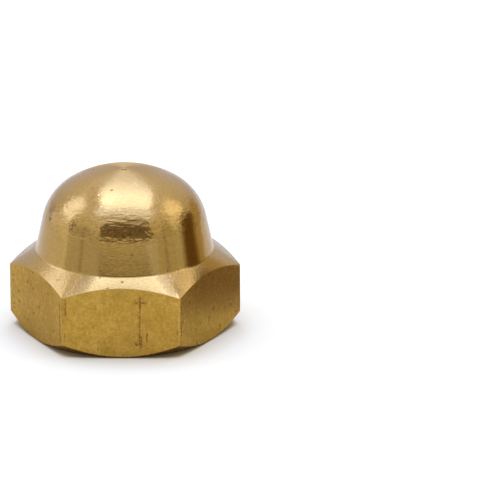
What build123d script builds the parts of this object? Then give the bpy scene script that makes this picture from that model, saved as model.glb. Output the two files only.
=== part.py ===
"""Low cap nut, M5 thread: one piece of brass, turned and tapped from hexagon bar.

The frame's origin is the centre of the bearing face. +Z runs along the thread axis to the top
of the dome, and two of the hexagon's corners lie on the X axis. All lengths are in millimetres.
"""
import os
from math import atan2, cos, radians, sin, sqrt, tan

from build123d import *

# Hexagon bar
across_flats = 8.0
bar_edge_radius = 0.13

# Hexagon as turned: the bearing face below, and a chamfer on the corners at both ends
bearing_face_diameter = 7.84
lower_chamfer_angle = 38.0
corner_height = 2.49
upper_chamfer_angle = 34.2

# Dome: a side that tapers, a knuckle arc and a crown arc, each tangent to the next
dome_base_diameter = 7.09
dome_height = 3.34
dome_side_taper = 12.4
dome_root_radius = 0.15
knuckle_radius = 2.17
crown_radius = 4.41

# Blind hole, left at the thread's minor diameter
thread_minor_diameter = 4.22
hole_depth = 4.65
drill_point_angle = 118.0
drill_corner_chamfer = 0.15

# Mouth of the hole: a flat deburring chamfer, then a steeper countersink down to the thread
mouth_diameter = 5.42
mouth_chamfer_depth = 0.13
countersink_diameter = 4.94
countersink_angle = 60.0

# The hole's cutter starts this far below the bearing face
overcut = 0.5


def shoulder_height():
    """Height at which the upper chamfer meets the dome."""
    corner_reach = across_flats / sqrt(3) - dome_base_diameter / 2
    return corner_height + corner_reach * tan(radians(upper_chamfer_angle))


def dome_knuckle():
    """Centre of the knuckle arc, in the dome's section.

    It lies one knuckle radius inside the tapered side, and as far from the crown's centre as
    the crown radius is larger than the knuckle radius.
    """
    taper = radians(dome_side_taper)
    crown_centre_z = shoulder_height() + dome_height - crown_radius
    # Nearest point to the crown's centre, on the line that runs inside the side
    side_offset = (dome_base_diameter / 2) * cos(taper) - knuckle_radius
    side_offset += (shoulder_height() - crown_centre_z) * sin(taper)
    along = sqrt((crown_radius - knuckle_radius) ** 2 - side_offset**2)
    centre_x = side_offset * cos(taper) - along * sin(taper)
    centre_z = crown_centre_z + side_offset * sin(taper) + along * cos(taper)
    return centre_x, centre_z


def hexagon_bar():
    """Hexagon bar with its edges rounded, long enough for the whole nut."""
    section = RegularPolygon(across_flats / 2, 6, major_radius=False, rotation=0)
    section = fillet(section.vertices(), bar_edge_radius)
    return extrude(section, shoulder_height() + dome_height)


def turned_outline():
    """Outside of the nut as the lathe cuts it, before the flats show: a solid of revolution."""
    corner_radius = across_flats / sqrt(3)
    bearing_radius = bearing_face_diameter / 2
    lower_rise = (corner_radius - bearing_radius) * tan(radians(lower_chamfer_angle))
    base_radius = dome_base_diameter / 2
    base_z = shoulder_height()
    top_z = base_z + dome_height

    taper = radians(dome_side_taper)
    knuckle_x, knuckle_z = dome_knuckle()
    side_top = (knuckle_x + knuckle_radius * cos(taper), knuckle_z + knuckle_radius * sin(taper))
    crown_centre_z = top_z - crown_radius
    crown_slope = atan2(knuckle_z - crown_centre_z, knuckle_x)
    crown_edge = (crown_radius * cos(crown_slope), crown_centre_z + crown_radius * sin(crown_slope))
    knuckle_middle = (taper + crown_slope) / 2
    knuckle_point = (
        knuckle_x + knuckle_radius * cos(knuckle_middle),
        knuckle_z + knuckle_radius * sin(knuckle_middle),
    )
    crown_middle = (crown_slope + radians(90)) / 2
    crown_point = (crown_radius * cos(crown_middle), crown_centre_z + crown_radius * sin(crown_middle))

    edges = Polyline(
        (0, top_z),
        (0, 0),
        (bearing_radius, 0),
        (corner_radius, lower_rise),
        (corner_radius, corner_height),
        (base_radius, base_z),
        side_top,
    ).edges()
    edges += ThreePointArc(side_top, knuckle_point, crown_edge).edges()
    edges += ThreePointArc(crown_edge, crown_point, (0, top_z)).edges()
    section = make_face(edges)
    root = section.vertices().sort_by_distance((base_radius, base_z))[0]
    section = fillet(root, dome_root_radius)
    return revolve(Plane.XZ * section, Axis.Z)


def blind_hole():
    """Cutter for the hole: mouth chamfer, countersink, plain bore and drill point."""
    bore_radius = thread_minor_diameter / 2
    countersink_radius = countersink_diameter / 2
    countersink_end = mouth_chamfer_depth + (countersink_radius - bore_radius) / tan(
        radians(countersink_angle / 2)
    )
    point_slope = tan(radians(drill_point_angle / 2))
    point_radius = bore_radius - drill_corner_chamfer
    section = make_face(
        Polyline(
            (0, -overcut),
            (mouth_diameter / 2, -overcut),
            (mouth_diameter / 2, 0),
            (countersink_radius, mouth_chamfer_depth),
            (bore_radius, countersink_end),
            (bore_radius, hole_depth - drill_corner_chamfer),
            (point_radius, hole_depth),
            (0, hole_depth + point_radius / point_slope),
            close=True,
        ).edges()
    )
    return revolve(Plane.XZ * section, Axis.Z)


def cap_nut():
    """The nut: the part of the bar inside the turned outline, less the blind hole."""
    return (hexagon_bar() & turned_outline()) - blind_hole()


os.makedirs("parts", exist_ok=True)
nut = cap_nut()
nut.label = "cap_nut"
export_step(nut, "parts/cap_nut.step")
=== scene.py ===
from math import atan2, cos, pi, radians, sin, sqrt, tan

import bmesh
import bpy
from mathutils import Matrix, Vector


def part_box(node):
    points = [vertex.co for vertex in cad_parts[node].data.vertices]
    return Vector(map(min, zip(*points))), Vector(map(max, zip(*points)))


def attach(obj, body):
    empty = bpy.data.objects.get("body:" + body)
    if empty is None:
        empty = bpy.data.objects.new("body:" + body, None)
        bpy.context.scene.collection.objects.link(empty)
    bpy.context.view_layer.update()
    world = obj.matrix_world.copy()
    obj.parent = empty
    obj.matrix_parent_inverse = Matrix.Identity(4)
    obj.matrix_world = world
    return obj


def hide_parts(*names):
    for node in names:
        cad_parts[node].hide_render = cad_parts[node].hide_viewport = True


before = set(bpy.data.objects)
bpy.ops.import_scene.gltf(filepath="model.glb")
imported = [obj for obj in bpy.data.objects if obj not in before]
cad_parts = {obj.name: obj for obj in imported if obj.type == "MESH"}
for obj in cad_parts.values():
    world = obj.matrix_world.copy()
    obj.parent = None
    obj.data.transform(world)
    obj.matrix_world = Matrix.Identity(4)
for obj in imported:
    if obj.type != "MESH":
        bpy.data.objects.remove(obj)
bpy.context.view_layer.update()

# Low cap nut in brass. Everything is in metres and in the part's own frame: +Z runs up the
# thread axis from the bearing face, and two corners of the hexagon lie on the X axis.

NUT_LOW, NUT_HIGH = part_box("cap_nut")

MM = 0.001

# Hexagon bar
ACROSS_FLATS = NUT_HIGH.y - NUT_LOW.y
FLAT_ANGLES = [radians(30 + 60 * side) for side in range(6)]
BAR_EDGE_RADIUS = 0.13 * MM
BAR_EDGE_CUTS = 4

# Turned outside: bearing face, chamfers, and a dome of a tapered side, a knuckle and a crown
NUT_HEIGHT = NUT_HIGH.z
DOME_HEIGHT = 3.34 * MM
BEARING_RADIUS = 3.92 * MM
LOWER_CHAMFER_ANGLE = radians(38.0)
LOWER_CHAMFER_TOP = 0.56 * MM
UPPER_CHAMFER_ANGLE = radians(34.2)
DOME_BASE_RADIUS = 3.545 * MM
DOME_TAPER = radians(12.4)
DOME_ROOT_RADIUS = 0.15 * MM
KNUCKLE_RADIUS = 2.17 * MM
CROWN_RADIUS = 4.41 * MM

# Blind hole
BORE_RADIUS = 2.11 * MM
HOLE_DEPTH = 4.65 * MM
DRILL_POINT_ANGLE = radians(118.0)
DRILL_CORNER = 0.15 * MM
MOUTH_RADIUS = 2.71 * MM
MOUTH_CHAMFER_DEPTH = 0.13 * MM
COUNTERSINK_RADIUS = 2.47 * MM
COUNTERSINK_ANGLE = radians(60.0)

# Right-hand thread: full down to where the tap's taper starts, then fading into the bore
THREAD_PITCH = 0.8 * MM
THREAD_MAJOR_RADIUS = 2.5 * MM
THREAD_ROOT_FLAT = 0.1 * MM
THREAD_FLANK = radians(30.0)
THREAD_START = -0.62 * MM
THREAD_FULL_DEPTH = 3.75 * MM
THREAD_END = 4.36 * MM
TAP_TAPER = radians(38.0)
TAP_OVERCUT = 0.05 * MM

# Broken edges, and how far the surface turns where a chamfer meets a flat
EDGE_BREAK = 0.02 * MM
CHAMFER_TURN = radians(57)
TURNED_EDGE_BREAK = 0.02 * MM
BEARING_EDGE_RADIUS = 0.06 * MM

# Mesh steps round the nut, round a turn of thread and along an arc, then what counts as one
# point, and as lying on a cut
STEPS_ROUND = 192
THREAD_STEPS = 96
ARC_STEP = radians(2.5)
DOUBLED = 0.001 * MM
CUT_SLACK = 1e-9

# Edges sharper than this stay sharp
SHARP_EDGE = radians(24)

# Camera
CAMERA_SENSOR = 36
CAMERA_LENS = 290.8
CAMERA_NEAR = 0.01
CAMERA_PLACE = Vector((4.995, -151.87, 56.76)) * MM
CAMERA_DIP = radians(19.46)
CAMERA_TURN = radians(0.54)

# Tent: its colours, where they change as shares of its radius, and its glow at the foot and high up
TENT_RADIUS = 0.45
TENT_LEFT = (1.04, 1.04, 1.06)
TENT_RIGHT = (1.02, 0.98, 0.82)
TENT_TOP = (1.06, 1.06, 1.3)
TENT_TOP_BAND = (0.4, 0.85)
TENT_BEHIND = (1.05, 1.05, 1.2)
TENT_BEHIND_BAND = (0.3, 0.8)
TENT_LOW = 0.68
TENT_HIGH = 1.02
TENT_HIGH_FROM = 0.7

# Light panels and flags
CARD_DISTANCE = 0.36
PANEL_COLOUR = (0.88, 1.06, 2.0)
LEFT_PANEL_COLOUR = (0.92, 1.06, 1.8)
RIGHT_PANEL_COLOUR = (1.05, 1.05, 1.2)
LEFT_FILL_COLOUR = (1.02, 1.04, 1.2)
STRIPE_COLOUR = (1.04, 1.04, 1.0)
BAR_COLOUR = (1.0, 0.97, 0.85)
SHADE_COLOUR = (1.0, 1.0, 0.95)
FRONT_FLAG_COLOUR = (1.0, 0.85, 0.7)
POST_COLOUR = (1.0, 0.88, 0.7)
FLAG_BROWN = (0.21, 0.12, 0.04)
FLAG_BROWN_LOW = (0.3, 0.19, 0.07)
FLAG_TAN = (0.66, 0.53, 0.28)
FLAG_SOFTNESS = 0.6 * MM

# Floor: its paint, the painted shade that metal mirrors of it behind the nut, and the painted contact
# shadow close under the nut
FLOOR_TONE = (0.79, 0.72, 0.465)
FLOOR_TONE_BEHIND = (0.64, 0.58, 0.42)
FLOOR_BEHIND_BAND = (7 * MM, 16 * MM)
FLOOR_TONE_SHADED = (0.3, 0.22, 0.06)
FLOOR_SHADE_REACH = 0.5 * MM
FLOOR_SHADE_BAND = (0.6, 0.2)
FLOOR_LIFT = 0.03
FLOOR_LIFT_MIRRORED = 0.02

# How metal mirrors at a low angle, against white: plain, and as brass dulled by handling
PLAIN_TINT = (1, 1, 1)
EDGE_TINT = (1.0, 0.92, 0.74)

# Lathe work: how far highlights stretch, and by what part of a turn they stand up
TURNED_STRETCH = 0.8
UPRIGHT_STRETCH = 0.25

# Heights on the nut between which the turned finish changes
CHAMFER_FADE = (3.2 * MM, 3.32 * MM)
DOME_JOINT = 4.548 * MM
FLECK_START = (DOME_JOINT - 0.06 * MM, DOME_JOINT + 0.06 * MM)
FLECK_END = (5.2 * MM, 5.5 * MM)
CHATTER_START = (DOME_JOINT - 0.05 * MM, DOME_JOINT + 0.05 * MM)
CHATTER_END = (5.5 * MM, 5.8 * MM)
CALM_END = (DOME_JOINT, DOME_JOINT + 0.1 * MM)
ROUGHER_FROM = (5.0 * MM, 5.5 * MM)
TORN_TOP_START = 6.0 * MM

# Where, sideways, the front and back flats end and the others begin, which are more handled
HANDLED_BAND = (2.3 * MM, 2.6 * MM)

# How far the edges of the marks wander
MARK_WANDER = 0.09 * MM

# Colours of the brass: clean, dulled, rubbed bright, and the grime and stain in its marks. The rubbed
# bright, stain and grime colours also fill the painted highlights and painted shade among the marks.
BRASS = (0.48, 0.305, 0.095)
BRASS_DULL = (0.41, 0.258, 0.07)
BRASS_RUBBED_AND_HIGHLIGHT = (0.6, 0.42, 0.18)
DRAWN_CLEAN = (0.54, 0.33, 0.072)
DRAWN_DULL = (0.345, 0.205, 0.032)
EDGE_DULL = (0.44, 0.27, 0.07)
STAIN_AND_SHADE = (0.2, 0.08, 0.025)
GRIME_AND_SHADE = (0.12, 0.06, 0.018)

# Marks on the turned faces: start, end, half width in mm, and strength. Most dark ones are pits, dirt
# and machining lines. The wide, faint dark ones are painted shade, and the wide bright one is a painted
# highlight.
TURNED_DARK_MARKS_AND_SHADE = (
    # Painted shade: a wide dark patch on the dome's left rim, where it mirrors dark surroundings
    ((-2.90, -1.05, 5.15), (-2.80, -1.15, 5.22), 0.22, 0.25),
    ((-2.55, -3.05, 2.93), (-2.35, -3.12, 2.95), 0.05, 0.35),
    ((-0.04, -0.24, 6.55), (0.09, -0.24, 6.55), 0.07, 1.0),
    ((-2.88, -1.33, 4.83), (-2.86, -1.33, 4.88), 0.09, 0.9),
    ((-2.00, -2.42, 4.98), (-1.84, -2.53, 5.00), 0.07, 0.9),
    ((-1.96, -2.50, 4.80), (-1.88, -2.41, 5.08), 0.06, 0.8),
    ((1.22, -3.02, 4.54), (1.75, -2.75, 4.45), 0.02, 0.5),
    ((1.27, -3.04, 4.36), (1.27, -3.07, 4.25), 0.03, 0.6),
    ((1.78, -3.03, 3.37), (1.78, -3.07, 3.24), 0.035, 0.6),
    ((-2.14, -1.22, 5.72), (-2.06, -1.20, 5.79), 0.03, 0.5),
    ((-2.55, -3.15, 2.87), (-2.45, -3.15, 2.87), 0.03, 0.5),
    ((-2.46, -2.96, 3.01), (-2.30, -3.01, 3.03), 0.03, 0.5),
    ((-0.55, -3.97, 2.90), (-0.47, -3.97, 2.90), 0.05, 0.7),
    # Painted shade: four wide, faint dark marks on the dome's lower sides and on the chamfer
    ((-1.68, -2.68, 4.85), (-1.40, -2.82, 4.85), 0.24, 0.2),
    ((-1.38, -3.48, 3.05), (-1.64, -3.85, 2.75), 0.42, 0.36),
    ((1.72, -3.40, 3.04), (1.98, -3.65, 2.81), 0.4, 0.25),
    ((-2.50, -2.42, 3.60), (-2.44, -2.30, 4.20), 0.4, 0.15),
)
# Painted shade: the front strips crowd the stain flecks into the dark band that the dome mirrors
TURNED_STAIN_AND_SHADE = (
    ((-0.85, -3.15, 4.92), (0.95, -3.15, 4.92), 0.24, 1.0),
    ((-0.85, -3.2, 4.66), (0.95, -3.2, 4.66), 0.24, 1.0),
)
TURNED_SCRATCHES_AND_HIGHLIGHT = (
    ((-2.19, -1.29, 5.74), (-2.10, -1.26, 5.81), 0.03, 0.8),
    ((-2.01, -1.45, 5.78), (-1.91, -1.42, 5.86), 0.03, 0.8),
    ((-0.84, -2.38, 5.75), (-0.82, -2.38, 5.75), 0.05, 0.7),
    ((-0.97, -1.83, 6.05), (-0.95, -1.86, 6.03), 0.04, 0.7),
    ((0.49, -1.30, 6.33), (0.59, -1.41, 6.29), 0.03, 0.6),
    ((0.90, -3.00, 4.93), (1.14, -2.99, 4.74), 0.035, 1.0),
    ((-0.69, -3.06, 4.92), (-0.21, -3.12, 4.94), 0.04, 0.5),
    ((2.07, 0.31, 6.03), (2.17, 0.30, 5.97), 0.03, 0.5),
    ((-2.38, -3.05, 3.00), (-2.34, -3.08, 2.99), 0.04, 0.6),
    # Painted highlight: a wide, faint bright patch on the lower right of the dome
    ((1.27, -3.20, 3.45), (1.20, -3.05, 4.35), 0.34, 0.45),
)

# Marks on the flats, in the same way. Most are real pits and scratches. The lines at the bar edges and
# the two widest dark marks are painted shade, and the bright line at the front-right bar edge is a
# painted highlight.
DRAWN_DARK_MARKS_AND_SHADE = (
    ((-4.35, -0.46, 2.51), (-4.33, -0.49, 2.51), 0.05, 0.6),
    ((-3.64, -1.70, 2.28), (-3.62, -1.73, 2.20), 0.05, 0.8),
    ((-4.18, -0.75, 1.17), (-4.16, -0.80, 1.17), 0.05, 0.6),
    ((-3.82, -1.38, 1.64), (-3.78, -1.44, 1.64), 0.05, 0.4),
    ((-3.62, -1.73, 1.22), (-3.62, -1.73, 1.16), 0.05, 0.8),
    ((-3.25, -2.36, 1.79), (-3.26, -2.36, 1.66), 0.03, 0.6),
    ((-3.88, -1.27, 0.60), (-3.77, -1.48, 0.69), 0.05, 0.7),
    ((-2.76, -3.22, 2.57), (-2.72, -3.29, 2.53), 0.03, 0.6),
    ((-2.62, -3.47, 1.65), (-2.62, -3.47, 1.58), 0.05, 0.4),
    # Dark lines along the front-left bar edge: partly dirt, partly painted shade where the rounded edge
    # mirrors dark surroundings
    ((-2.41, -3.82, 2.42), (-2.41, -3.82, 0.45), 0.06, 1.0),
    ((-2.18, -4.00, 2.48), (-2.18, -4.00, 1.70), 0.06, 0.7),
    ((-2.24, -4.00, 1.05), (-2.24, -4.00, 0.70), 0.035, 0.6),
    ((-2.27, -4.00, 2.45), (-2.27, -4.00, 0.60), 0.1, 0.15),
    # Painted shade: a wide, faint darkening over most of the left flat
    ((-3.4, -2.1, 2.2), (-3.4, -2.1, 0.8), 1.9, 0.22),
    ((-0.49, -4.00, 0.70), (-0.49, -4.00, 0.67), 0.04, 0.6),
    ((-0.94, -4.00, 0.40), (-0.90, -4.00, 0.36), 0.05, 0.5),
    ((0.73, -4.00, 2.76), (0.72, -4.00, 0.24), 0.06, 0.6),
    ((0.55, -4.00, 2.32), (1.02, -4.00, 2.32), 0.06, 0.75),
    ((0.74, -4.00, 2.56), (0.74, -4.00, 2.04), 0.065, 0.9),
    ((0.64, -4.00, 1.81), (0.68, -4.00, 1.81), 0.04, 0.6),
    ((0.79, -4.00, 1.17), (0.87, -4.00, 1.17), 0.03, 0.5),
    ((0.62, -4.00, 0.99), (0.70, -4.00, 0.99), 0.04, 0.7),
    ((1.00, -4.00, 1.05), (1.00, -4.00, 0.70), 0.05, 0.8),
    ((1.00, -4.00, 0.86), (1.00, -4.00, 0.78), 0.04, 0.7),
    ((0.74, -4.00, 0.90), (0.75, -4.00, 0.50), 0.09, 0.9),
    ((0.52, -4.00, 0.66), (0.62, -4.00, 0.54), 0.07, 0.8),
    ((2.20, -4.00, 1.12), (2.20, -4.00, 1.02), 0.05, 0.5),
    ((4.12, -0.86, 1.42), (4.12, -0.86, 1.33), 0.05, 0.8),
    ((3.97, -1.13, 1.05), (4.03, -1.02, 1.08), 0.06, 0.8),
    ((4.01, -1.05, 1.75), (4.02, -1.04, 1.15), 0.03, 0.5),
    ((3.03, -2.76, 2.33), (3.06, -2.70, 2.35), 0.05, 0.5),
    ((3.24, -2.39, 1.10), (3.28, -2.33, 1.20), 0.04, 0.7),
    ((2.97, -2.86, 1.08), (3.04, -2.74, 1.09), 0.04, 0.5),
    ((3.38, -2.14, 0.85), (3.40, -2.11, 0.92), 0.04, 0.5),
    ((2.98, -2.85, 1.50), (3.00, -2.81, 1.52), 0.04, 0.4),
    # Painted shade: a dark line just beside the front-right bar edge
    ((2.35, -3.95, 2.45), (2.36, -3.94, 0.50), 0.04, 0.9),
    # Painted shade: the upper part of the right flat darkened, where it mirrors dark surroundings
    ((3.4, -2.2, 2.4), (4.6, -0.1, 1.5), 1.5, 0.42),
)
DRAWN_SCRATCHES_AND_HIGHLIGHT = (
    ((-3.62, -1.73, 1.75), (-3.60, -1.77, 1.75), 0.05, 0.5),
    ((-3.22, -2.43, 0.91), (-3.08, -2.67, 0.81), 0.07, 0.6),
    ((-2.44, -3.77, 0.80), (-2.44, -3.77, 0.76), 0.04, 0.7),
    ((-0.50, -4.00, 1.02), (-0.50, -4.00, 1.00), 0.06, 0.5),
    ((-0.32, -4.00, 1.07), (-0.32, -4.00, 0.90), 0.03, 0.5),
    ((0.60, -4.00, 0.46), (0.64, -4.00, 0.46), 0.04, 0.7),
    ((3.87, -1.30, 2.14), (3.93, -1.20, 1.94), 0.035, 1.0),
    ((2.74, -3.25, 2.60), (2.79, -3.17, 2.57), 0.04, 0.6),
    # Painted highlight: a bright line just inside the front-right bar edge
    ((2.26, -4.00, 2.50), (2.26, -4.00, 0.50), 0.035, 1.0),
)

# Faces take their finish by number
TURNED, DRAWN, TAPPED, WORN = range(4)


def new_object(name, bm):
    """Turn a finished bmesh into an object at the origin."""
    mesh = bpy.data.meshes.new(name)
    bm.to_mesh(mesh)
    bm.free()
    piece = bpy.data.objects.new(name, mesh)
    bpy.context.scene.collection.objects.link(piece)
    return piece


# The nut's section


def line_to(bm, start, x, z):
    """Extend the section with a straight line to a point."""
    end = bmesh.ops.extrude_vert_indiv(bm, verts=[start])["verts"][0]
    end.co = (x, 0, z)
    return end


def arc_round(bm, start, centre_x, centre_z, angle):
    """Extend the section with an arc about a centre; a positive angle turns down from the top."""
    steps = max(2, round(abs(angle) / ARC_STEP))
    turned = bmesh.ops.spin(
        bm,
        geom=[start],
        cent=(centre_x, 0, centre_z),
        axis=(0, 1, 0),
        angle=angle,
        steps=steps,
        use_duplicate=False,
    )
    return [item for item in turned["geom_last"] if isinstance(item, bmesh.types.BMVert)][0]


def soften_corner(bm, corner, radius, turn, segments):
    """Round one corner of the section, where the line turns by the given angle."""
    bmesh.ops.bevel(
        bm,
        geom=[corner],
        offset=radius * tan(turn / 2),
        offset_type="OFFSET",
        segments=segments,
        profile=0.5,
        affect="VERTICES",
        material=-1,
    )


def outside_section(bm):
    """Half-section of the outside, from the top of the dome round to the mouth of the hole."""
    corner_radius = ACROSS_FLATS / sqrt(3)
    base_z = NUT_HEIGHT - DOME_HEIGHT
    crown_z = NUT_HEIGHT - CROWN_RADIUS
    side_offset = DOME_BASE_RADIUS * cos(DOME_TAPER) - KNUCKLE_RADIUS
    side_offset += (base_z - crown_z) * sin(DOME_TAPER)
    along = sqrt((CROWN_RADIUS - KNUCKLE_RADIUS) ** 2 - side_offset**2)
    knuckle_x = side_offset * cos(DOME_TAPER) - along * sin(DOME_TAPER)
    knuckle_z = crown_z + side_offset * sin(DOME_TAPER) + along * cos(DOME_TAPER)
    crown_slope = atan2(knuckle_z - crown_z, knuckle_x)

    top = bm.verts.new((0, 0, NUT_HEIGHT))
    crown_end = arc_round(bm, top, 0, crown_z, pi / 2 - crown_slope)
    knuckle_end = arc_round(bm, crown_end, knuckle_x, knuckle_z, crown_slope - DOME_TAPER)
    root = line_to(bm, knuckle_end, DOME_BASE_RADIUS, base_z)
    upper_z = base_z - (corner_radius - DOME_BASE_RADIUS) * tan(UPPER_CHAMFER_ANGLE)
    upper = line_to(bm, root, corner_radius, upper_z)
    lower_z = (corner_radius - BEARING_RADIUS) * tan(LOWER_CHAMFER_ANGLE)
    lower = line_to(bm, upper, corner_radius, lower_z)
    bearing_edge = line_to(bm, lower, BEARING_RADIUS, 0)
    line_to(bm, bearing_edge, MOUTH_RADIUS + TURNED_EDGE_BREAK, 0)
    root_turn = radians(90) - DOME_TAPER - UPPER_CHAMFER_ANGLE
    soften_corner(bm, root, DOME_ROOT_RADIUS, root_turn, 6)
    soften_corner(bm, bearing_edge, BEARING_EDGE_RADIUS, LOWER_CHAMFER_ANGLE, 3)


def hole_section(bm):
    """Half-section of the hole, from its mouth up to the drill point."""
    countersink_slope = tan(COUNTERSINK_ANGLE / 2)
    countersink_end = MOUTH_CHAMFER_DEPTH + (COUNTERSINK_RADIUS - BORE_RADIUS) / countersink_slope
    point_radius = BORE_RADIUS - DRILL_CORNER
    point_z = HOLE_DEPTH + point_radius / tan(DRILL_POINT_ANGLE / 2)
    mouth_slope = MOUTH_CHAMFER_DEPTH / (MOUTH_RADIUS - COUNTERSINK_RADIUS)

    rim = bm.verts.new((MOUTH_RADIUS + TURNED_EDGE_BREAK, 0, 0))
    mouth = line_to(bm, rim, MOUTH_RADIUS - TURNED_EDGE_BREAK, TURNED_EDGE_BREAK * mouth_slope)
    step = line_to(bm, mouth, COUNTERSINK_RADIUS, MOUTH_CHAMFER_DEPTH)
    bore_start = line_to(bm, step, BORE_RADIUS, countersink_end)
    bore_end = line_to(bm, bore_start, BORE_RADIUS, HOLE_DEPTH - DRILL_CORNER)
    corner = line_to(bm, bore_end, point_radius, HOLE_DEPTH)
    line_to(bm, corner, 0, point_z)


def spin_section(bm, finish):
    """Spin the loose section lines once round the thread axis and give the faces a finish."""
    lines = [edge for edge in bm.edges if edge.is_wire]
    points = {vert for edge in lines for vert in edge.verts}
    old_faces = set(bm.faces)
    bmesh.ops.spin(
        bm,
        geom=lines + list(points),
        cent=(0, 0, 0),
        axis=(0, 0, 1),
        angle=2 * pi,
        steps=STEPS_ROUND,
        use_merge=True,
        use_duplicate=False,
    )
    for face in bm.faces:
        if face not in old_faces:
            face.material_index = finish


def cut_upright(bm, distance, angle, keep_outer=False):
    """Cut the solid with an upright plane at a distance from the axis; the cut is then a flat."""
    outward = Vector((cos(angle), sin(angle), 0))
    cut = bmesh.ops.bisect_plane(
        bm,
        geom=bm.verts[:] + bm.edges[:] + bm.faces[:],
        dist=CUT_SLACK,
        plane_co=outward * distance,
        plane_no=outward,
        clear_outer=not keep_outer,
    )
    if keep_outer:
        return
    rim = [item for item in cut["geom_cut"] if isinstance(item, bmesh.types.BMEdge)]
    open_rim = [edge for edge in rim if edge.is_boundary]
    for face in bmesh.ops.contextual_create(bm, geom=open_rim)["faces"]:
        face.material_index = DRAWN


def cut_flats(bm):
    """Cut the six flats of the bar, each with a line just inside it for its broken edge."""
    for angle in FLAT_ANGLES:
        cut_upright(bm, ACROSS_FLATS / 2 - EDGE_BREAK * sin(CHAMFER_TURN), angle, keep_outer=True)
        cut_upright(bm, ACROSS_FLATS / 2, angle)


def break_edges(bm):
    """Round the curved edges between the flats and the chamfers, and give worn faces their finish."""
    guide = ACROSS_FLATS / 2 - EDGE_BREAK * sin(CHAMFER_TURN)
    flats = [face for face in bm.faces if face.material_index == DRAWN]
    inset = bmesh.ops.inset_individual(bm, faces=flats, thickness=EDGE_BREAK, use_even_offset=True)
    rims = set(inset["faces"])
    strips = {
        face
        for face in bm.faces
        if face.material_index == TURNED
        and max(face.calc_center_median().dot((cos(a), sin(a), 0)) for a in FLAT_ANGLES) > guide
    }
    bmesh.ops.recalc_face_normals(bm, faces=bm.faces)
    edge_points = {vert for face in rims for vert in face.verts}
    edge_points &= {vert for face in strips for vert in face.verts}
    inward = {vert: vert.normal * EDGE_BREAK * tan(CHAMFER_TURN / 4) for vert in edge_points}
    for vert, step in inward.items():
        vert.co -= step
    lower = {face for face in bm.faces if 0 < face.calc_center_median().z < LOWER_CHAMFER_TOP}
    for face in rims | strips | (lower - set(flats)):
        face.material_index = WORN


def round_bar_edges(bm):
    """Round the bar's six edges with narrow facets."""
    edge_centre = (ACROSS_FLATS / 2 - BAR_EDGE_RADIUS) * 2 / sqrt(3)
    facet = radians(60) / BAR_EDGE_CUTS
    for side in range(6):
        for i in range(BAR_EDGE_CUTS):
            lean = (i + 0.5) * facet - radians(30)
            distance = edge_centre * cos(lean) + BAR_EDGE_RADIUS * cos(facet / 2)
            cut_upright(bm, distance, side * radians(60) + lean)


def nut_blank():
    """The nut before it is tapped."""
    bm = bmesh.new()
    outside_section(bm)
    spin_section(bm, TURNED)
    cut_flats(bm)
    break_edges(bm)
    round_bar_edges(bm)
    hole_section(bm)
    spin_section(bm, TAPPED)
    bmesh.ops.remove_doubles(bm, verts=bm.verts, dist=DOUBLED)
    bmesh.ops.recalc_face_normals(bm, faces=bm.faces)
    return new_object("cap_nut_turned", bm)


# The thread


def tap_reach(z):
    """How far the tap's teeth are ground down at a height, for its tapered lead."""
    return max(0.0, (z - THREAD_FULL_DEPTH) * tan(TAP_TAPER))


def tooth_section(bm, side_of_tooth):
    """One of the tap's teeth in section, at the foot of the helix; its points know their side."""
    outer_half = THREAD_ROOT_FLAT / 2
    depth = THREAD_MAJOR_RADIUS - BORE_RADIUS
    inner_half = outer_half + (depth + TAP_OVERCUT) * tan(THREAD_FLANK)
    section = []
    for x, half, side in (
        (BORE_RADIUS - TAP_OVERCUT, -inner_half, 0),
        (THREAD_MAJOR_RADIUS, -outer_half, -1),
        (THREAD_MAJOR_RADIUS, outer_half, 1),
        (BORE_RADIUS - TAP_OVERCUT, inner_half, 0),
    ):
        vert = bm.verts.new((x, 0, THREAD_START + half))
        vert[side_of_tooth] = side
        section.append(vert)
    return bm.faces.new(section)


def grind_lead(bm, side_of_tooth):
    """Grind the teeth down along the tap's tapered lead."""
    for vert in bm.verts:
        side = vert[side_of_tooth]
        ground = tap_reach(vert.co.z)
        if side and ground:
            radius = vert.co.xy.length
            vert.co.xy *= (radius - ground) / radius
            vert.co.z += side * ground * tan(THREAD_FLANK)


def thread_cutter():
    """The tap's path: one tooth's section, spun up the hole along the helix."""
    rise = THREAD_END - THREAD_START
    steps = round(THREAD_STEPS * rise / THREAD_PITCH)
    bm = bmesh.new()
    side_of_tooth = bm.verts.layers.float.new("side_of_tooth")
    tooth = tooth_section(bm, side_of_tooth)
    first = bmesh.ops.duplicate(bm, geom=[tooth] + tooth.verts[:] + tooth.edges[:])["geom"]
    bmesh.ops.spin(
        bm,
        geom=[item for item in first if not isinstance(item, bmesh.types.BMVert)],
        cent=(0, 0, 0),
        axis=(0, 0, 1),
        dvec=(0, 0, rise / steps),
        angle=2 * pi * rise / THREAD_PITCH,
        steps=steps,
        use_duplicate=False,
    )
    bmesh.ops.remove_doubles(bm, verts=bm.verts, dist=DOUBLED)
    grind_lead(bm, side_of_tooth)
    for face in bm.faces:
        face.material_index = TAPPED
    bmesh.ops.recalc_face_normals(bm, faces=bm.faces)
    return new_object("thread_cutter", bm)


def finished(piece):
    """Apply the piece's modifiers to its mesh."""
    graph = bpy.context.evaluated_depsgraph_get()
    mesh = bpy.data.meshes.new_from_object(piece.evaluated_get(graph), depsgraph=graph)
    piece.modifiers.clear()
    old = piece.data
    piece.data = mesh
    bpy.data.meshes.remove(old)


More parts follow.
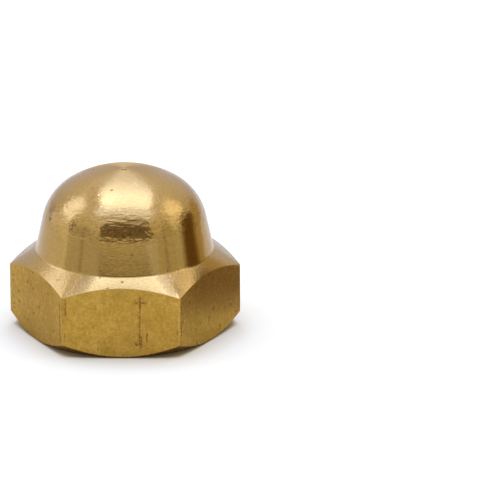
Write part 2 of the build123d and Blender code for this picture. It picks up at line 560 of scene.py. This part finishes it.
def tapped_nut():
    """Cut the thread into the blank, and shade round faces smooth and flats flat."""
    nut = nut_blank()
    cutter = thread_cutter()
    tapping = nut.modifiers.new("tapping", "BOOLEAN")
    tapping.operation = "DIFFERENCE"
    tapping.solver = "EXACT"
    tapping.material_mode = "INDEX"
    tapping.object = cutter
    finished(nut)
    bpy.data.objects.remove(cutter)
    nut.name = "cap_nut_finish"
    nut.data.shade_smooth()
    nut.data.set_sharp_from_angle(angle=SHARP_EDGE)
    weighted = nut.modifiers.new("flat_faces_stay_flat", "WEIGHTED_NORMAL")
    weighted.mode = "FACE_AREA"
    weighted.weight = 50
    weighted.keep_sharp = True
    finished(nut)
    return nut


# Node helpers


def put(tree, socket, value):
    """Wire a value into a socket, or set it there when it is plain."""
    if isinstance(value, bpy.types.NodeSocket):
        tree.links.new(value, socket)
    else:
        socket.default_value = value


def add(tree, kind, inputs=None, **options):
    """Add a shader node with its options and its inputs."""
    made = tree.nodes.new("ShaderNode" + kind)
    for option, value in options.items():
        setattr(made, option, value)
    for socket, value in (inputs or {}).items():
        put(tree, made.inputs[socket], value)
    return made


def reckon(tree, operation, *values):
    """One step of arithmetic."""
    return add(tree, "Math", dict(enumerate(values)), operation=operation).outputs[0]


def reckon_vector(tree, operation, *values, result="Vector"):
    """One step of vector arithmetic."""
    return add(tree, "VectorMath", dict(enumerate(values)), operation=operation).outputs[result]


def ramp(tree, value, low, high, start=0.0, end=1.0):
    """Rise smoothly from start to end while the value goes from low to high."""
    inputs = {"Value": value, "From Min": low, "From Max": high, "To Min": start, "To Max": end}
    return add(tree, "MapRange", inputs, interpolation_type="SMOOTHSTEP").outputs["Result"]


def blend(tree, amount, first, second):
    """Mix two colours by an amount."""
    made = add(tree, "Mix", {"Factor": amount}, data_type="RGBA")
    put(tree, made.inputs["A"], first)
    put(tree, made.inputs["B"], second)
    return made.outputs["Result"]


def noise(tree, vector, scale, detail=2.0, roughness=0.5, **options):
    """Noise on a vector, in features a unit."""
    inputs = {"Vector": vector, "Scale": scale, "Detail": detail, "Roughness": roughness}
    return add(tree, "TexNoise", inputs, **options).outputs[0]


# Effects that the finishes share, each a node group


def new_effect(name, inputs, outputs):
    """A node group with named sockets; returns it with its inner start and end.

    An input is a value where its default is one number, and a vector otherwise. None gives a
    vector without a default.
    """
    group = bpy.data.node_groups.new(name, "ShaderNodeTree")
    for socket, default in inputs.items():
        kind = "NodeSocketFloat" if isinstance(default, float) else "NodeSocketVector"
        made = group.interface.new_socket(socket, in_out="INPUT", socket_type=kind)
        if default is not None:
            made.default_value = default
    for socket in outputs:
        group.interface.new_socket(socket, in_out="OUTPUT", socket_type="NodeSocketFloat")
    start = group.nodes.new("NodeGroupInput").outputs
    end = group.nodes.new("NodeGroupOutput").inputs
    return group, start, end


def turning_lines():
    """Fine rings that the lathe tool leaves round the axis, each broken along its length."""
    inputs = {"Vector": None, "Rings per mm": 12.0, "Breaks Round": 5.0}
    group, start, end = new_effect("Turning Lines", inputs, ["Height"])
    split = add(group, "SeparateXYZ", {0: start["Vector"]}).outputs
    x_squared = reckon(group, "MULTIPLY", split["X"], split["X"])
    y_squared = reckon(group, "MULTIPLY", split["Y"], split["Y"])
    radius = reckon(group, "SQRT", reckon(group, "ADD", x_squared, y_squared))
    radius = reckon(group, "MAXIMUM", radius, 0.01 * MM)
    turn = reckon(group, "DIVIDE", start["Breaks Round"], radius)
    rings = reckon(group, "DIVIDE", start["Rings per mm"], MM)
    place = add(group, "CombineXYZ", {
        "X": reckon(group, "MULTIPLY", split["X"], turn),
        "Y": reckon(group, "MULTIPLY", split["Y"], turn),
        "Z": reckon(group, "MULTIPLY", split["Z"], rings),
    }).outputs[0]
    lines = add(group, "TexNoise", {
        "Vector": place,
        "W": reckon(group, "MULTIPLY", radius, rings),
        "Scale": 1.0,
        "Detail": 2.0,
        "Roughness": 0.6,
    }, noise_dimensions="4D")
    put(group, end["Height"], lines.outputs[0])
    return group


def drawn_grain():
    """Lines along the bar from the die that it was drawn through, over a fine even grain."""
    group, start, end = new_effect("Drawn Grain", {"Vector": None, "Lines per mm": 9.0}, ["Height"])
    lines_scale = reckon(group, "DIVIDE", start["Lines per mm"], MM)
    stretched = reckon_vector(group, "MULTIPLY", start["Vector"], (1, 1, 0.06))
    lines = noise(group, stretched, lines_scale, 3.0, 0.6)
    grain = noise(group, start["Vector"], reckon(group, "MULTIPLY", lines_scale, 1.1), 3.0, 0.65)
    lines = reckon(group, "MULTIPLY", lines, 0.2)
    grain = reckon(group, "MULTIPLY", grain, 0.8)
    put(group, end["Height"], reckon(group, "ADD", lines, grain))
    return group


def pits():
    """Small round spots of differing size, far apart."""
    inputs = {"Vector": None, "Spots per mm": 2.0, "Radius": 0.16, "Share": 0.35}
    group, start, end = new_effect("Pits", inputs, ["Mask"])
    scale = reckon(group, "DIVIDE", start["Spots per mm"], MM)
    wobble = add(group, "TexNoise", {"Vector": start["Vector"], "Scale": 9 / MM, "Detail": 2.0})
    wander = reckon_vector(group, "MULTIPLY", wobble.outputs["Color"], (0.06 * MM,) * 3)
    place = reckon_vector(group, "ADD", start["Vector"], wander)
    cells = add(group, "TexVoronoi", {"Vector": place, "Scale": scale})
    dice = add(group, "SeparateColor", {"Color": cells.outputs["Color"]}).outputs
    chosen = reckon(group, "LESS_THAN", dice["Red"], start["Share"])
    reach = reckon(group, "MULTIPLY", start["Radius"], reckon(group, "ADD", dice["Green"], 0.25))
    near = reckon(group, "DIVIDE", cells.outputs["Distance"], reach)
    put(group, end["Mask"], reckon(group, "MULTIPLY", chosen, ramp(group, near, 1.0, 0.45)))
    return group


def scratches():
    """Thin straight scratches in two directions, where handling has worn the surface."""
    inputs = {"Vector": None, "Lines per mm": 5.0, "Share": 0.5}
    group, start, end = new_effect("Scratches", inputs, ["Mask"])
    scale = reckon(group, "DIVIDE", start["Lines per mm"], MM)
    found = 0.0
    for lean in ((0.7, 0.4, 0.9), (-0.9, 0.6, 0.35)):
        turned = add(group, "VectorRotate", {"Vector": start["Vector"], "Rotation": lean},
                     rotation_type="EULER_XYZ").outputs[0]
        stretched = reckon_vector(group, "MULTIPLY", turned, (1, 1, 0.09))
        lines = noise(group, stretched, scale, 1.0, 0.5)
        off_ridge = reckon(group, "ABSOLUTE", reckon(group, "SUBTRACT", lines, 0.5))
        found = reckon(group, "MAXIMUM", ramp(group, off_ridge, 0.012, 0.004), found)
    patch = noise(group, start["Vector"], 0.9 / MM, 2.0)
    gate = ramp(group, patch, reckon(group, "SUBTRACT", 1.0, start["Share"]), 0.8)
    put(group, end["Mask"], reckon(group, "MULTIPLY", found, gate))
    return group


def tarnish():
    """Cloudy dulling of the brass, in wide clouds and in fine mottle."""
    group, start, end = new_effect("Tarnish", {"Vector": None}, ["Clouds", "Mottle"])
    wide = noise(group, start["Vector"], 0.52 / MM, 3.0, 0.6)
    put(group, end["Clouds"], ramp(group, wide, 0.3, 0.75))
    put(group, end["Mottle"], noise(group, start["Vector"], 8.5 / MM, 3.0, 0.7))
    return group


def mark():
    """One dent, scratch or stain: a soft spot about a centre, stretched along a direction."""
    inputs = {"Vector": None, "Centre": (0.0, 0.0, 0.0), "Direction": (0.0, 0.0, 1.0),
              "Half Length": 0.1, "Half Width": 0.03}
    group, start, end = new_effect("Mark", inputs, ["Mask"])
    offset = reckon_vector(group, "SUBTRACT", start["Vector"], start["Centre"])
    along = reckon_vector(group, "DOT_PRODUCT", offset, start["Direction"], result="Value")
    line = reckon_vector(group, "SCALE", start["Direction"])
    put(group, line.node.inputs["Scale"], along)
    beside = reckon_vector(group, "SUBTRACT", offset, line)
    across = reckon_vector(group, "LENGTH", beside, result="Value")
    far_along = reckon(group, "DIVIDE", reckon(group, "ABSOLUTE", along), start["Half Length"])
    far_across = reckon(group, "DIVIDE", across, start["Half Width"])
    in_length = ramp(group, far_along, 1.0, 0.6)
    in_width = ramp(group, far_across, 1.0, 0.3)
    put(group, end["Mask"], reckon(group, "MULTIPLY", in_length, in_width))
    return group


# Finishes


def plain_material(name):
    """A new material with nothing in its node tree but the output."""
    material = bpy.data.materials.new(name)
    material.use_nodes = True
    tree = material.node_tree
    tree.nodes.clear()
    return material, tree, tree.nodes.new("ShaderNodeOutputMaterial")


def use(tree, effect, inputs, output=0):
    """Place an effect in a material with its own values."""
    made = tree.nodes.new("ShaderNodeGroup")
    made.node_tree = EFFECTS[effect]
    for socket, value in inputs.items():
        put(tree, made.inputs[socket], value)
    return made.outputs[output]


def marked(tree, place, marks, speckle=None):
    """All the marks in a list, in one mask, broken up by a speckle where one is given."""
    wander = add(tree, "TexNoise", {"Vector": place, "Scale": 12 / MM, "Detail": 2.0}).outputs["Color"]
    wander = reckon_vector(tree, "SUBTRACT", wander, (0.5, 0.5, 0.5))
    wander = reckon_vector(tree, "MULTIPLY", wander, (MARK_WANDER,) * 3)
    place = reckon_vector(tree, "ADD", place, wander)
    found = 0.0
    for start, end, half_width, strength in marks:
        start, end = Vector(start), Vector(end)
        one = use(tree, "Mark", {
            "Vector": place,
            "Centre": (start + end) / 2 * MM,
            "Direction": (end - start).normalized(),
            "Half Length": ((end - start).length / 2 + half_width) * MM,
            "Half Width": half_width * MM,
        })
        found = reckon(tree, "MAXIMUM", reckon(tree, "MULTIPLY", one, strength), found)
    if speckle is not None:
        found = reckon(tree, "MULTIPLY", found, speckle)
    return found


def tinted(tree, colour, mask, share, tint):
    """Mix a tint into a colour under a mask, up to a share."""
    return blend(tree, reckon(tree, "MULTIPLY", mask, share), colour, (*tint, 1))


def lathe_rings(tree, place, per_mm, breaks):
    """The lathe's rings, so many to a millimetre and with so many breaks on their way round."""
    return use(tree, "Turning Lines", {"Vector": place, "Rings per mm": per_mm, "Breaks Round": breaks})


def brass(name, stretch=0.0, edge_tint=EDGE_TINT):
    """A brass shader; a stretch draws its highlights out along the meridians, as on lathe work."""
    material, tree, output = plain_material(name)
    shader = add(tree, "BsdfPrincipled", {"Metallic": 1.0})
    shader.inputs["Specular Tint"].default_value = (*edge_tint, 1)
    if stretch:
        shader.inputs["Anisotropic"].default_value = stretch
        shader.inputs["Anisotropic Rotation"].default_value = UPRIGHT_STRETCH
        tangent = add(tree, "Tangent", direction_type="RADIAL", axis="Z").outputs[0]
        put(tree, shader.inputs["Tangent"], tangent)
    put(tree, output.inputs["Surface"], shader.outputs[0])
    place = add(tree, "TexCoord").outputs["Object"]
    return material, tree, shader.inputs, place


def relief(tree, sockets, heights):
    """Add up heights given in thousandths of a millimetre, and bump the surface with them."""
    total = 0.0
    for height, amount in heights:
        total = reckon(tree, "MULTIPLY_ADD", height, amount, total)
    bump = add(tree, "Bump", {"Height": total, "Distance": 0.001 * MM, "Strength": 1.0})
    put(tree, sockets["Normal"], bump.outputs[0])


def stain_and_shade_flecks(tree, place, height):
    """Flecks of stain in the torn band above the dome's joint, most of them at its front, where they
    are also painted shade that speckles the dark band the dome mirrors.
    """
    band = ramp(tree, height, *FLECK_START)
    band = reckon(tree, "MULTIPLY", band, ramp(tree, height, *FLECK_END, 1.0, 0.15))
    stain_and_shade = reckon(tree, "MAXIMUM", marked(tree, place, TURNED_STAIN_AND_SHADE), 0.35)
    flecks = ramp(tree, lathe_rings(tree, place, 12.0, 24.0), 0.5, 0.64)
    return reckon(tree, "MULTIPLY", flecks, reckon(tree, "MULTIPLY", band, stain_and_shade))


def lathe_relief(tree, place, height, fine, torn):
    """Heights of the lathe's lines: fine all over, and deep chatter round the knuckle."""
    chatter = ramp(tree, height, *CHATTER_START, 0.05, 1.0)
    chatter = reckon(tree, "MULTIPLY", chatter, ramp(tree, height, *CHATTER_END, 1.0, 0.22))
    coarse = reckon(tree, "SUBTRACT", lathe_rings(tree, place, 4.6, 5.5), 0.5)
    medium = reckon(tree, "SUBTRACT", lathe_rings(tree, place, 8.5, 8.0), 0.5)
    calm = ramp(tree, height, *CALM_END, 0.35, 1.0)
    fine = reckon(tree, "SUBTRACT", fine, 0.5)
    return [
        (reckon(tree, "MULTIPLY", fine, reckon(tree, "ADD", torn, calm)), 2.6),
        (reckon(tree, "MULTIPLY", coarse, chatter), 24.0),
        (reckon(tree, "MULTIPLY", medium, chatter), 12.0),
    ]


def turned_brass():
    """Dome, chamfers and bearing face: turned on the lathe, then handled."""
    material, tree, sockets, place = brass("brass_turned", TURNED_STRETCH, PLAIN_TINT)
    height = add(tree, "SeparateXYZ", {0: place}).outputs["Z"]
    torn = ramp(tree, height, TORN_TOP_START, NUT_HEIGHT)
    chamfer = ramp(tree, height, *CHAMFER_FADE, 1.0, 0.0)
    fine = lathe_rings(tree, place, 14.0, 6.0)
    spots = use(tree, "Pits", {"Vector": place, "Spots per mm": 2.45, "Radius": 0.17, "Share": 0.25})
    scored = use(tree, "Scratches", {"Vector": place, "Lines per mm": 4.0, "Share": 0.55})
    clouds = use(tree, "Tarnish", {"Vector": place}, "Clouds")
    mottle = use(tree, "Tarnish", {"Vector": place}, "Mottle")
    dark = marked(tree, place, TURNED_DARK_MARKS_AND_SHADE)
    bright = marked(tree, place, TURNED_SCRATCHES_AND_HIGHLIGHT)

    colour = blend(tree, ramp(tree, mottle, 0.3, 0.7), (*BRASS_DULL, 1), (*BRASS, 1))
    colour = tinted(tree, colour, clouds, 0.35, BRASS_DULL)
    colour = tinted(tree, colour, ramp(tree, fine, 0.6, 0.35), 0.25, BRASS_DULL)
    colour = tinted(tree, colour, spots, 0.5, GRIME_AND_SHADE)
    # Stain flecks, which are also painted shade at the front of the band
    colour = tinted(tree, colour, stain_and_shade_flecks(tree, place, height), 0.8, STAIN_AND_SHADE)
    # Dark marks: pits and dirt, and the wide faint ones are painted shade
    colour = blend(tree, dark, colour, (*GRIME_AND_SHADE, 1))
    # Bright marks: scratches and nicks, and the wide faint one is a painted highlight
    put(tree, sockets["Base Color"], tinted(tree, colour, bright, 0.8, BRASS_RUBBED_AND_HIGHLIGHT))

    rough = ramp(tree, height, *ROUGHER_FROM, 0.13, 0.175)
    rough = reckon(tree, "ADD", rough, ramp(tree, clouds, 0.0, 1.0, 0.0, 0.04))
    rough = reckon(tree, "MULTIPLY_ADD", chamfer, 0.05, rough)
    rough = reckon(tree, "MULTIPLY_ADD", reckon(tree, "MAXIMUM", spots, dark), 0.2, rough)
    put(tree, sockets["Roughness"], reckon(tree, "MULTIPLY_ADD", torn, 0.24, rough))

    grain = reckon(tree, "SUBTRACT", noise(tree, place, 9 / MM, 3.0, 0.65), 0.5)
    grain = reckon(tree, "MULTIPLY", grain, reckon(tree, "ADD", chamfer, 0.35))
    relief(tree, sockets, lathe_relief(tree, place, height, fine, torn) + [
        (grain, 7.0), (spots, -1.5), (scored, -0.8), (dark, -3.0), (bright, 2.5),
    ])
    return material


def drawn_spots(tree, place, handled):
    """Pits on the flats: a few large ones, and small ones most of all where it was handled."""
    large = use(tree, "Pits", {"Vector": place, "Spots per mm": 1.5, "Radius": 0.13, "Share": 0.35})
    small = use(tree, "Pits", {"Vector": place, "Spots per mm": 4.5, "Radius": 0.33, "Share": 0.34})
    small = reckon(tree, "MULTIPLY", small, reckon(tree, "MULTIPLY_ADD", handled, 0.65, 0.35))
    return reckon(tree, "MAXIMUM", large, small)


def drawn_colour(tree, place, grain, clouds, handled):
    """Colour of the flats before their marks: blotched, cloudy and dulled in the grain."""
    mottle = use(tree, "Tarnish", {"Vector": place}, "Mottle")
    blotch = reckon(tree, "MULTIPLY", noise(tree, place, 2.6 / MM, 3.0, 0.6), 0.4)
    blotch = reckon(tree, "MULTIPLY_ADD", mottle, 0.6, blotch)
    colour = blend(tree, ramp(tree, blotch, 0.36, 0.64), (*DRAWN_DULL, 1), (*DRAWN_CLEAN, 1))
    colour = tinted(tree, colour, clouds, 0.3, DRAWN_DULL)
    dull = reckon(tree, "MULTIPLY_ADD", handled, 0.7, 0.3)
    return tinted(tree, colour, ramp(tree, grain, 0.6, 0.4), dull, DRAWN_DULL)


def drawn_brass():
    """The six flats: drawn bar, satin and lightly pitted."""
    material, tree, sockets, place = brass("brass_drawn")
    sideways = reckon(tree, "ABSOLUTE", add(tree, "SeparateXYZ", {0: place}).outputs["X"])
    handled = ramp(tree, sideways, *HANDLED_BAND)
    grain = use(tree, "Drawn Grain", {"Vector": place, "Lines per mm": 7.0})
    spots = drawn_spots(tree, place, handled)
    scored = use(tree, "Scratches", {"Vector": place, "Lines per mm": 4.0, "Share": 0.5})
    clouds = use(tree, "Tarnish", {"Vector": place}, "Clouds")
    speckle = ramp(tree, noise(tree, place, 14 / MM, 2.0, 0.7), 0.35, 0.52)
    dark = marked(tree, place, DRAWN_DARK_MARKS_AND_SHADE, speckle)
    bright = marked(tree, place, DRAWN_SCRATCHES_AND_HIGHLIGHT)

    colour = drawn_colour(tree, place, grain, clouds, handled)
    colour = tinted(tree, colour, spots, 0.55, GRIME_AND_SHADE)
    # Dark marks: pits and dirt, and the bar-edge lines and the two widest marks are painted shade
    colour = blend(tree, dark, colour, (*STAIN_AND_SHADE, 1))
    # Bright marks and scratches; the line at the front-right bar edge is a painted highlight
    colour = tinted(tree, colour, reckon(tree, "MAXIMUM", bright, scored), 0.3, BRASS_RUBBED_AND_HIGHLIGHT)
    put(tree, sockets["Base Color"], colour)

    rough = ramp(tree, clouds, 0.0, 1.0, 0.34, 0.42)
    dulled = reckon(tree, "MAXIMUM", spots, dark)
    put(tree, sockets["Roughness"], reckon(tree, "MULTIPLY_ADD", dulled, 0.2, rough))

    uneven = reckon(tree, "SUBTRACT", grain, 0.5)
    uneven = reckon(tree, "MULTIPLY", uneven, reckon(tree, "ADD", handled, 0.8))
    relief(tree, sockets, [
        (uneven, 4.6), (spots, -5.0), (scored, -0.8), (dark, -3.0), (bright, 2.5),
    ])
    return material


def tapped_brass():
    """The hole: drilled, countersunk and tapped, a little duller with the tapping oil."""
    material, tree, sockets, place = brass("brass_tapped")
    lines = lathe_rings(tree, place, 10.0, 3.0)
    clouds = use(tree, "Tarnish", {"Vector": place}, "Clouds")
    colour = blend(tree, ramp(tree, lines, 0.35, 0.65), (*BRASS_DULL, 1), (*BRASS, 1))
    put(tree, sockets["Base Color"], tinted(tree, colour, clouds, 0.5, BRASS_DULL))
    put(tree, sockets["Roughness"], ramp(tree, clouds, 0.0, 1.0, 0.26, 0.36))
    relief(tree, sockets, [(lines, 1.6)])
    return material


def worn_brass():
    """The broken edges and the lower chamfer: rubbed and dulled, with small nicks."""
    material, tree, sockets, place = brass("brass_worn")
    spots = use(tree, "Pits", {"Vector": place, "Spots per mm": 2.5, "Radius": 0.2, "Share": 0.4})
    mottle = use(tree, "Tarnish", {"Vector": place}, "Mottle")
    colour = blend(tree, ramp(tree, mottle, 0.45, 0.75), (*EDGE_DULL, 1), (*BRASS_DULL, 1))
    put(tree, sockets["Base Color"], tinted(tree, colour, spots, 0.6, GRIME_AND_SHADE))
    put(tree, sockets["Roughness"], ramp(tree, mottle, 0.3, 0.7, 0.2, 0.3))
    relief(tree, sockets, [(mottle, 2.0), (spots, -2.0)])
    return material


# Stage, light and camera


def glow_material(name, colour, strength):
    """A plain light surface."""
    material, tree, output = plain_material(name)
    glow = add(tree, "Emission", {"Color": (*colour, 1), "Strength": strength})
    put(tree, output.inputs["Surface"], glow.outputs[0])
    return material


def direction(azimuth, elevation):
    """The way to a place round the nut: azimuth 0 is the camera's side, 90 is to the right."""
    flat = cos(radians(elevation))
    x = sin(radians(azimuth)) * flat
    y = -cos(radians(azimuth)) * flat
    return Vector((x, y, sin(radians(elevation))))


def card(name, azimuth, elevation, wide, high, colour, strength, distance=CARD_DISTANCE,
         top_width=1.0, top_shift=0.0):
    """A light panel or a dark flag. Its place and its size are angles seen from the nut."""
    bm = bmesh.new()
    bmesh.ops.create_grid(bm, x_segments=1, y_segments=1, size=distance)
    size = Vector((tan(radians(wide / 2)), tan(radians(high / 2)), 1))
    bmesh.ops.scale(bm, vec=size, verts=bm.verts)
    top = [vert for vert in bm.verts if vert.co.y > 0]
    bmesh.ops.scale(bm, vec=Vector((top_width, 1, 1)), verts=top)
    bmesh.ops.translate(bm, vec=Vector((top_shift * distance, 0, 0)), verts=top)
    way = direction(azimuth, elevation)
    turn = (-way).to_track_quat("Z", "Y").to_matrix().to_4x4()
    bmesh.ops.transform(bm, matrix=Matrix.Translation(way * distance) @ turn, verts=bm.verts)
    piece = new_object(name, bm)
    piece.data.materials.append(glow_material(name, colour, strength))
    piece.visible_camera = False


def flag_material(name, colour, reach, base, height, lean):
    """A surface of one colour with soft edges, which leans back as it rises."""
    material, tree, output = plain_material(name)
    split = add(tree, "SeparateXYZ", {0: add(tree, "TexCoord").outputs["Object"]}).outputs
    middle = (reach[0] + reach[1]) / 2
    half = (reach[1] - reach[0]) / 2
    rise = reckon(tree, "SUBTRACT", split["Z"], height / 2)
    upright = reckon(tree, "SUBTRACT", split["Y"], reckon(tree, "MULTIPLY", rise, lean))
    off = reckon(tree, "ABSOLUTE", reckon(tree, "SUBTRACT", upright, middle))
    across = ramp(tree, off, half - FLAG_SOFTNESS, half + FLAG_SOFTNESS, 1.0, 0.0)
    below_top = ramp(tree, split["Z"], height - FLAG_SOFTNESS, height + FLAG_SOFTNESS, 1.0, 0.0)
    above_base = ramp(tree, split["Z"], base - FLAG_SOFTNESS, base + FLAG_SOFTNESS)
    cover = reckon(tree, "MULTIPLY", across, reckon(tree, "MULTIPLY", below_top, above_base))
    glow = add(tree, "Emission", {"Color": (*colour, 1)})
    clear = add(tree, "BsdfTransparent")
    both = add(tree, "MixShader", {0: cover, 1: clear.outputs[0], 2: glow.outputs[0]})
    put(tree, output.inputs["Surface"], both.outputs[0])
    return material


def side_flag(name, x, reach, base, height, lean, colour):
    """A dark flag that stands close to the nut on the right; only reflections show it.

    It reaches from a near to a far place along Y, and from its base up to its height.
    """
    bm = bmesh.new()
    bmesh.ops.create_grid(bm, x_segments=1, y_segments=1, size=1)
    middle = Matrix.Translation((x, (reach[0] + reach[1]) / 2, height))
    stand = middle @ Matrix.Rotation(-pi / 2, 4, "Y")
    fit = Matrix.Diagonal((height, reach[1] - reach[0] + 2 * FLAG_SOFTNESS, 1, 1))
    bmesh.ops.transform(bm, matrix=stand @ fit, verts=bm.verts)
    piece = new_object(name, bm)
    piece.data.materials.append(flag_material(name, colour, reach, base, height, lean))
    piece.visible_camera = False
    piece.visible_diffuse = False
    piece.visible_shadow = False


def tent():
    """The pale tent round the nut: white on the left, warmer on the right, dimmer low down."""
    bm = bmesh.new()
    bmesh.ops.create_uvsphere(bm, u_segments=48, v_segments=24, radius=TENT_RADIUS)
    cut = bm.verts[:] + bm.edges[:] + bm.faces[:]
    low = Vector((0, 0, -MM))
    bmesh.ops.bisect_plane(bm, geom=cut, plane_co=low, plane_no=(0, 0, -1), clear_outer=True)
    piece = new_object("tent", bm)
    material, tree, output = plain_material("tent_cloth")
    place = add(tree, "TexCoord").outputs["Object"]
    split = add(tree, "SeparateXYZ", {0: place}).outputs
    side = ramp(tree, split["X"], -TENT_RADIUS, TENT_RADIUS)
    tint = blend(tree, side, (*TENT_LEFT, 1), (*TENT_RIGHT, 1))
    upper = ramp(tree, split["Z"], *(TENT_RADIUS * share for share in TENT_TOP_BAND))
    tint = blend(tree, upper, tint, (*TENT_TOP, 1))
    behind = ramp(tree, split["Y"], *(TENT_RADIUS * share for share in TENT_BEHIND_BAND))
    tint = blend(tree, behind, tint, (*TENT_BEHIND, 1))
    strength = ramp(tree, split["Z"], 0.0, TENT_HIGH_FROM * TENT_RADIUS, TENT_LOW, TENT_HIGH)
    glow = add(tree, "Emission", {"Color": tint, "Strength": strength})
    put(tree, output.inputs["Surface"], glow.outputs[0])
    piece.data.materials.append(material)
    piece.visible_camera = False


def floor():
    """A pale floor, near white to the camera but for the nut's own shadow.

    Its colour is painted browner right under the nut as a contact shadow. Far behind it, where only
    metal mirrors it, the colour is painted duller as shade.
    """
    bm = bmesh.new()
    bmesh.ops.create_circle(bm, cap_ends=True, segments=64, radius=TENT_RADIUS)
    piece = new_object("floor", bm)
    material, tree, output = plain_material("floor_white")
    rays = add(tree, "LightPath").outputs
    place = add(tree, "TexCoord").outputs["Object"]
    # Painted shade in reflections: the floor turns duller far behind the nut, for glossy rays only
    behind = ramp(tree, add(tree, "SeparateXYZ", {0: place}).outputs["Y"], *FLOOR_BEHIND_BAND)
    dim = reckon(tree, "MULTIPLY", behind, rays["Is Glossy Ray"])
    tone = blend(tree, dim, (*FLOOR_TONE, 1), (*FLOOR_TONE_BEHIND, 1))
    # Painted contact shadow: the floor's colour turns darker and browner where ambient occlusion finds
    # the nut close by
    open_share = add(tree, "AmbientOcclusion", {"Distance": FLOOR_SHADE_REACH}).outputs["AO"]
    shaded = ramp(tree, open_share, *FLOOR_SHADE_BAND)
    tone = blend(tree, shaded, tone, (*FLOOR_TONE_SHADED, 1))
    paint = add(tree, "BsdfDiffuse", {"Color": tone})
    seen = reckon(tree, "MULTIPLY", rays["Is Camera Ray"], FLOOR_LIFT)
    mirrored = reckon(tree, "MULTIPLY", rays["Is Glossy Ray"], FLOOR_LIFT_MIRRORED)
    glow = add(tree, "Emission", {"Strength": reckon(tree, "ADD", seen, mirrored)})
    both = add(tree, "AddShader", {0: paint.outputs[0], 1: glow.outputs[0]})
    put(tree, output.inputs["Surface"], both.outputs[0])
    piece.data.materials.append(material)


def lights():
    """The light panels over and beside the nut, and the dark flags that its dome mirrors."""
    card("top_light", azimuth=180, elevation=77.5, wide=33, high=45, colour=PANEL_COLOUR,
         strength=3.3, top_width=1.62, top_shift=0.06)
    card("top_light_front", azimuth=0, elevation=72, wide=74, high=22, colour=PANEL_COLOUR,
         strength=1.8, distance=0.38)
    card("top_light_hot", azimuth=-130, elevation=74, wide=15, high=9, colour=PANEL_COLOUR,
         strength=4.2, distance=0.35)
    card("back_light", azimuth=180, elevation=52, wide=26, high=17, colour=PANEL_COLOUR,
         strength=2.2, distance=0.35)
    card("left_light", azimuth=-102, elevation=37, wide=27, high=32, colour=LEFT_PANEL_COLOUR,
         strength=2.35, top_shift=0.12)
    card("right_light", azimuth=103, elevation=39.5, wide=27, high=24, colour=RIGHT_PANEL_COLOUR,
         strength=1.9)
    card("front_flag", azimuth=3.5, elevation=26.3, wide=80, high=45, colour=FRONT_FLAG_COLOUR,
         strength=0.27, top_width=0.67)
    card("front_shade", azimuth=4, elevation=2.5, wide=86, high=12, colour=SHADE_COLOUR,
         strength=1.15, distance=0.37)
    card("right_bar", azimuth=66, elevation=18, wide=12, high=12, colour=BAR_COLOUR,
         strength=0.6, distance=0.35)
    card("right_stripe", azimuth=81, elevation=21, wide=10, high=26, colour=STRIPE_COLOUR,
         strength=1.2, distance=0.35)
    card("left_fill", azimuth=-104, elevation=8, wide=46, high=20, colour=LEFT_FILL_COLOUR,
         strength=1.15)
    card("left_post", azimuth=-57, elevation=8, wide=3.6, high=28, colour=POST_COLOUR,
         strength=0.48, distance=0.33)
    card("right_post", azimuth=59.5, elevation=4, wide=3.0, high=18, colour=POST_COLOUR,
         strength=0.48, distance=0.33)
    side_flag("right_flag", x=6.3 * MM, reach=(-2.8 * MM, -0.4 * MM), base=-1.0 * MM,
              height=6.7 * MM, lean=0.38, colour=FLAG_BROWN)
    side_flag("right_flag_low", x=6.45 * MM, reach=(-1.2 * MM, 1.4 * MM), base=0.3 * MM,
              height=2.2 * MM, lean=0.0, colour=FLAG_BROWN_LOW)
    side_flag("right_flag_far", x=6.6 * MM, reach=(-1.8 * MM, 2.0 * MM), base=-1.0 * MM,
              height=7.4 * MM, lean=1.1, colour=FLAG_TAN)


def photo_camera():
    """The camera, at the photograph's viewing angle."""
    piece = bpy.data.objects.new("camera", bpy.data.cameras.new("camera"))
    piece.data.sensor_width = CAMERA_SENSOR
    piece.data.lens = CAMERA_LENS
    piece.data.clip_start = CAMERA_NEAR
    turn = Matrix.Rotation(CAMERA_TURN, 4, "Z")
    dip = Matrix.Rotation(pi / 2 - CAMERA_DIP, 4, "X")
    piece.matrix_world = turn @ Matrix.Translation(CAMERA_PLACE) @ dip
    bpy.context.scene.collection.objects.link(piece)
    bpy.context.scene.camera = piece


def white_room():
    """White behind everything, as in the photograph."""
    world = bpy.data.worlds.new("white_room")
    world.use_nodes = True
    background = world.node_tree.nodes["Background"].inputs
    background["Color"].default_value = (1, 1, 1, 1)
    background["Strength"].default_value = 1
    bpy.context.scene.world = world


EFFECTS = {
    effect.name: effect
    for effect in (turning_lines(), drawn_grain(), pits(), scratches(), tarnish(), mark())
}

nut = tapped_nut()
for finish in (turned_brass, drawn_brass, tapped_brass, worn_brass):
    nut.data.materials.append(finish())
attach(nut, "root")
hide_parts("cap_nut")

tent()
floor()
lights()
photo_camera()
white_room()

bpy.context.scene.view_settings.view_transform = "Standard"
